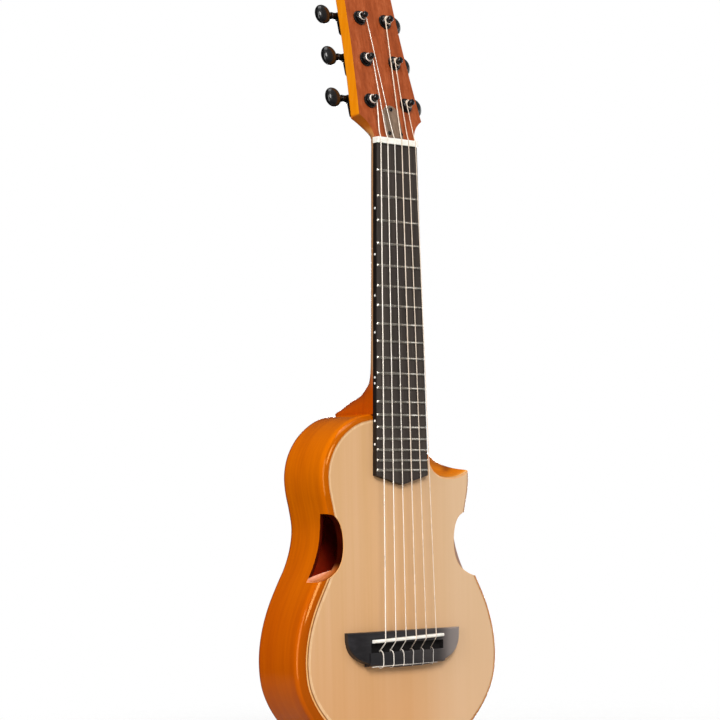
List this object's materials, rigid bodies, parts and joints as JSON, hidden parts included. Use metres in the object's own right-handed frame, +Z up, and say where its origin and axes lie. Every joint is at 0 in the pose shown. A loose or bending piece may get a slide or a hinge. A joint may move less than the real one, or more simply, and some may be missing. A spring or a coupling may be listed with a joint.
{
  "type": "guitalele",
  "caption": "Small nylon-strung guitar with a scooped cutaway, a sound port in each side of its waist, and turning tuners.",
  "frame": {"origin": "on the centreline between the head's two wings, inside the neck just above the nut, where a hanger's yoke carries the instrument", "axes": "+Z up along the neck towards the head, -Y the way the soundboard faces, +X towards the treble side"},
  "size_m": [0.2344, 0.0684, 0.694],
  "materials": {
    "mahogany": "stained satin gloss",
    "amber_wood": "glossy amber stain",
    "spruce": "satin lacquer",
    "rosewood": "oiled",
    "cover_rosewood": "satin",
    "ebony": "satin",
    "bone": "polished",
    "fret_wire": "polished",
    "black_metal": "glossy black plating",
    "black_button": "glossy",
    "plain_nylon": "clear to pale",
    "wound_nylon": "pale silvery winding",
    "inner_wood": "raw",
    "rod_steel": "plain"
  },
  "bodies": {
    "body": {"neck": "mahogany", "back": "mahogany", "rim": "amber_wood", "top_edge": "amber_wood", "soundboard": "spruce", "fretboard": "rosewood", "truss_rod_cover": "cover_rosewood", "bridge": "ebony", "saddle": "bone", "nut": "bone", "neck_block": "inner_wood", "tail_block": "inner_wood", "bridge_plate": "inner_wood", "truss_rod": "rod_steel", "fret_01": "fret_wire", "fret_02": "fret_wire", "fret_03": "fret_wire", "fret_04": "fret_wire", "fret_05": "fret_wire", "fret_06": "fret_wire", "fret_07": "fret_wire", "fret_08": "fret_wire", "fret_09": "fret_wire", "fret_10": "fret_wire", "fret_11": "fret_wire", "fret_12": "fret_wire", "fret_13": "fret_wire", "fret_14": "fret_wire", "fret_15": "fret_wire", "fret_16": "fret_wire", "fret_17": "fret_wire", "fret_18": "fret_wire", "fret_19": "fret_wire", "cover_screw_1": "black_metal", "cover_screw_2": "black_metal", "cover_screw_3": "black_metal", "tuner_housing_1": "black_metal", "tuner_housing_2": "black_metal", "tuner_housing_3": "black_metal", "tuner_housing_4": "black_metal", "tuner_housing_5": "black_metal", "tuner_housing_6": "black_metal", "string_1": "plain_nylon", "string_2": "plain_nylon", "string_3": "plain_nylon", "string_4": "wound_nylon", "string_5": "wound_nylon", "string_6": "wound_nylon"},
    "key_1": {"tuner_key_1": "black_button"},
    "post_1": {"tuner_post_1": "black_metal"},
    "key_2": {"tuner_key_2": "black_button"},
    "post_2": {"tuner_post_2": "black_metal"},
    "key_3": {"tuner_key_3": "black_button"},
    "post_3": {"tuner_post_3": "black_metal"},
    "key_4": {"tuner_key_4": "black_button"},
    "post_4": {"tuner_post_4": "black_metal"},
    "key_5": {"tuner_key_5": "black_button"},
    "post_5": {"tuner_post_5": "black_metal"},
    "key_6": {"tuner_key_6": "black_button"},
    "post_6": {"tuner_post_6": "black_metal"}
  },
  "joints": [
    {"name": "key_1_turn", "type": "hinge", "parent": "body", "child": "key_1", "pos_m": [0.0213, 0.0199, 0.02808], "axis": [1, 0, 0], "continuous": true},
    {"name": "post_1_turn", "type": "hinge", "parent": "body", "child": "post_1", "pos_m": [0.0213, 0.00135, 0.02498], "axis": [0, -0.9703, 0.2419], "continuous": true},
    {"name": "key_2_turn", "type": "hinge", "parent": "body", "child": "key_2", "pos_m": [0.017, 0.0297, 0.06738], "axis": [1, 0, 0], "continuous": true},
    {"name": "post_2_turn", "type": "hinge", "parent": "body", "child": "post_2", "pos_m": [0.017, 0.01114, 0.06427], "axis": [0, -0.9703, 0.2419], "continuous": true},
    {"name": "key_3_turn", "type": "hinge", "parent": "body", "child": "key_3", "pos_m": [0.0152, 0.03949, 0.10667], "axis": [1, 0, 0], "continuous": true},
    {"name": "post_3_turn", "type": "hinge", "parent": "body", "child": "post_3", "pos_m": [0.0152, 0.02094, 0.10357], "axis": [0, -0.9703, 0.2419], "continuous": true},
    {"name": "key_4_turn", "type": "hinge", "parent": "body", "child": "key_4", "pos_m": [-0.0152, 0.03949, 0.10667], "axis": [-1, 0, 0], "continuous": true},
    {"name": "post_4_turn", "type": "hinge", "parent": "body", "child": "post_4", "pos_m": [-0.0152, 0.02094, 0.10357], "axis": [0, -0.9703, 0.2419], "continuous": true},
    {"name": "key_5_turn", "type": "hinge", "parent": "body", "child": "key_5", "pos_m": [-0.017, 0.0297, 0.06738], "axis": [-1, 0, 0], "continuous": true},
    {"name": "post_5_turn", "type": "hinge", "parent": "body", "child": "post_5", "pos_m": [-0.017, 0.01114, 0.06427], "axis": [0, -0.9703, 0.2419], "continuous": true},
    {"name": "key_6_turn", "type": "hinge", "parent": "body", "child": "key_6", "pos_m": [-0.0213, 0.0199, 0.02808], "axis": [-1, 0, 0], "continuous": true},
    {"name": "post_6_turn", "type": "hinge", "parent": "body", "child": "post_6", "pos_m": [-0.0213, 0.00135, 0.02498], "axis": [0, -0.9703, 0.2419], "continuous": true}
  ],
  "couplings": [
    {"joint": "post_1_turn", "follows": "key_1_turn", "ratio": -0.066667},
    {"joint": "post_2_turn", "follows": "key_2_turn", "ratio": -0.066667},
    {"joint": "post_3_turn", "follows": "key_3_turn", "ratio": -0.066667},
    {"joint": "post_4_turn", "follows": "key_4_turn", "ratio": 0.066667},
    {"joint": "post_5_turn", "follows": "key_5_turn", "ratio": 0.066667},
    {"joint": "post_6_turn", "follows": "key_6_turn", "ratio": 0.066667}
  ]
}
